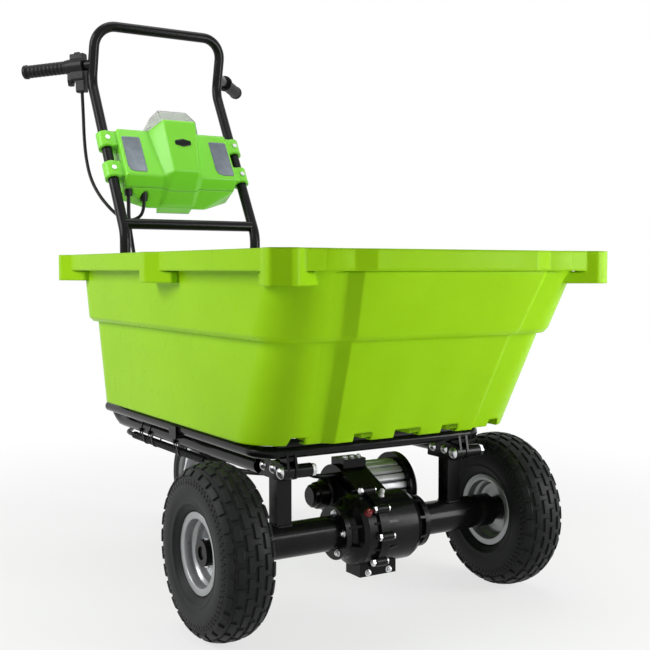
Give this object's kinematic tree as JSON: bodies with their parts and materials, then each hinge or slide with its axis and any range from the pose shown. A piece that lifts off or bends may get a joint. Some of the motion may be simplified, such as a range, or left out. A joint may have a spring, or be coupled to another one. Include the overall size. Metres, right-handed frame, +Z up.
{
  "type": "electric garden cart",
  "caption": "Battery powered garden cart with a lime green tipping bin, two driven wheels, a rear caster and a push handle with throttle.",
  "frame": {"origin": "on the floor, under the middle of the cart's overall box", "axes": "+Y from the driven wheels towards the handle, +X to the right when looking along +Y, +Z up"},
  "size_m": [0.616, 1.2187, 1.076],
  "materials": {
    "bin_plastic": "satin lime green moulding",
    "box_plastic": "glossy bright green moulding",
    "black_frame": "gloss black powder coat",
    "zinc": "bright zinc plate",
    "rim_paint": "silver grey paint",
    "tyre_rubber": "dull black rubber",
    "caster_plastic": "grey moulding",
    "gear_black": "black painted casting",
    "motor_silver": "bare finned aluminium",
    "black_plastic": "fine grained black moulding",
    "switch_plastic": "dark red rocker",
    "clear_cover": "clear smoke plastic",
    "soft_rubber": "soft black rubber"
  },
  "bodies": {
    "chassis": {"axle_bearings": "zinc", "axle_tubes": "black_frame", "battery_pack": "black_plastic", "box_front": "box_plastic", "box_rear": "box_plastic", "cable_glands": "black_plastic", "caster_bolts": "zinc", "caster_plate": "black_frame", "clip_screws": "zinc", "cradle_pads": "soft_rubber", "cradles": "black_frame", "cross_members": "black_frame", "frame_bolts": "zinc", "gearbox_bolts": "zinc", "gearbox_left": "gear_black", "gearbox_right": "gear_black", "grip_bars": "black_frame", "grip_left": "soft_rubber", "grip_right": "soft_rubber", "handle_crossbar": "black_frame", "handle_frame": "black_frame", "handle_spacers": "black_frame", "hinge_brackets": "black_frame", "hinge_pins": "zinc", "latch_bracket": "black_frame", "latch_pin": "zinc", "motor_bell": "gear_black", "motor_brake": "gear_black", "motor_cable": "soft_rubber", "motor_can": "motor_silver", "motor_conduit": "black_plastic", "posts": "black_frame", "rails": "black_frame", "throttle_cable": "soft_rubber", "throttle_housing": "black_plastic"},
    "tipper": {"bin": "bin_plastic", "bed_frame": "black_frame", "bed_rear_tube": "black_frame", "bed_bars": "black_frame", "bin_bolts": "zinc", "hinge_ears": "black_frame"},
    "left_wheel": {"tyre_left": "tyre_rubber", "rim_left": "rim_paint", "hub_left": "black_frame", "hub_pin_left": "zinc", "half_shaft_left": "zinc"},
    "right_wheel": {"tyre_right": "tyre_rubber", "rim_right": "rim_paint", "hub_right": "black_frame", "hub_pin_right": "zinc", "half_shaft_right": "zinc"},
    "caster": {"caster_fork": "zinc", "caster_kingpin": "zinc", "caster_axle": "zinc"},
    "caster_wheel": {"caster_tyre": "tyre_rubber", "caster_rim": "caster_plastic"},
    "latch": {"tip_latch": "black_frame"},
    "throttle": {"throttle_lever": "black_plastic"},
    "rocker": {"direction_rocker": "switch_plastic"},
    "cover": {"battery_cover": "clear_cover"}
  },
  "joints": [
    {"name": "left_wheel_spin", "type": "hinge", "parent": "chassis", "child": "left_wheel", "pos_m": [-0.2685, -0.379, 0.13], "axis": [1, 0, 0], "continuous": true},
    {"name": "right_wheel_spin", "type": "hinge", "parent": "chassis", "child": "right_wheel", "pos_m": [0.2685, -0.379, 0.13], "axis": [1, 0, 0], "continuous": true},
    {"name": "caster_swivel", "type": "hinge", "parent": "chassis", "child": "caster", "pos_m": [0, 0.206, 0.215], "axis": [0, 0, 1], "continuous": true},
    {"name": "caster_wheel_spin", "type": "hinge", "parent": "caster", "child": "caster_wheel", "pos_m": [0, 0.256, 0.1], "axis": [1, 0, 0], "continuous": true},
    {"name": "bin_tip", "type": "hinge", "parent": "chassis", "child": "tipper", "pos_m": [0, -0.412, 0.241], "axis": [1, 0, 0], "range_deg": [0, 60]},
    {"name": "tip_latch_close", "type": "hinge", "parent": "chassis", "child": "latch", "pos_m": [0, 0.265, 0.276], "axis": [1, 0, 0], "range_deg": [0, 24]},
    {"name": "throttle_press", "type": "hinge", "parent": "chassis", "child": "throttle", "pos_m": [-0.18519, 0.51308, 0.98048], "axis": [-0.658, 0.7516, -0.0471], "range_deg": [0, 35], "stiffness_Nm_per_rad": 0.25, "springref_deg": -11.46},
    {"name": "direction_rock", "type": "hinge", "parent": "chassis", "child": "rocker", "pos_m": [-0.17276, 0.49889, 1.00489], "axis": [-0.658, 0.7516, -0.0471], "range_deg": [-7, 7]},
    {"name": "cover_open", "type": "hinge", "parent": "chassis", "child": "cover", "pos_m": [0, 0.45602, 0.80871], "axis": [-1, 0, 0], "range_deg": [0, 95]}
  ]
}
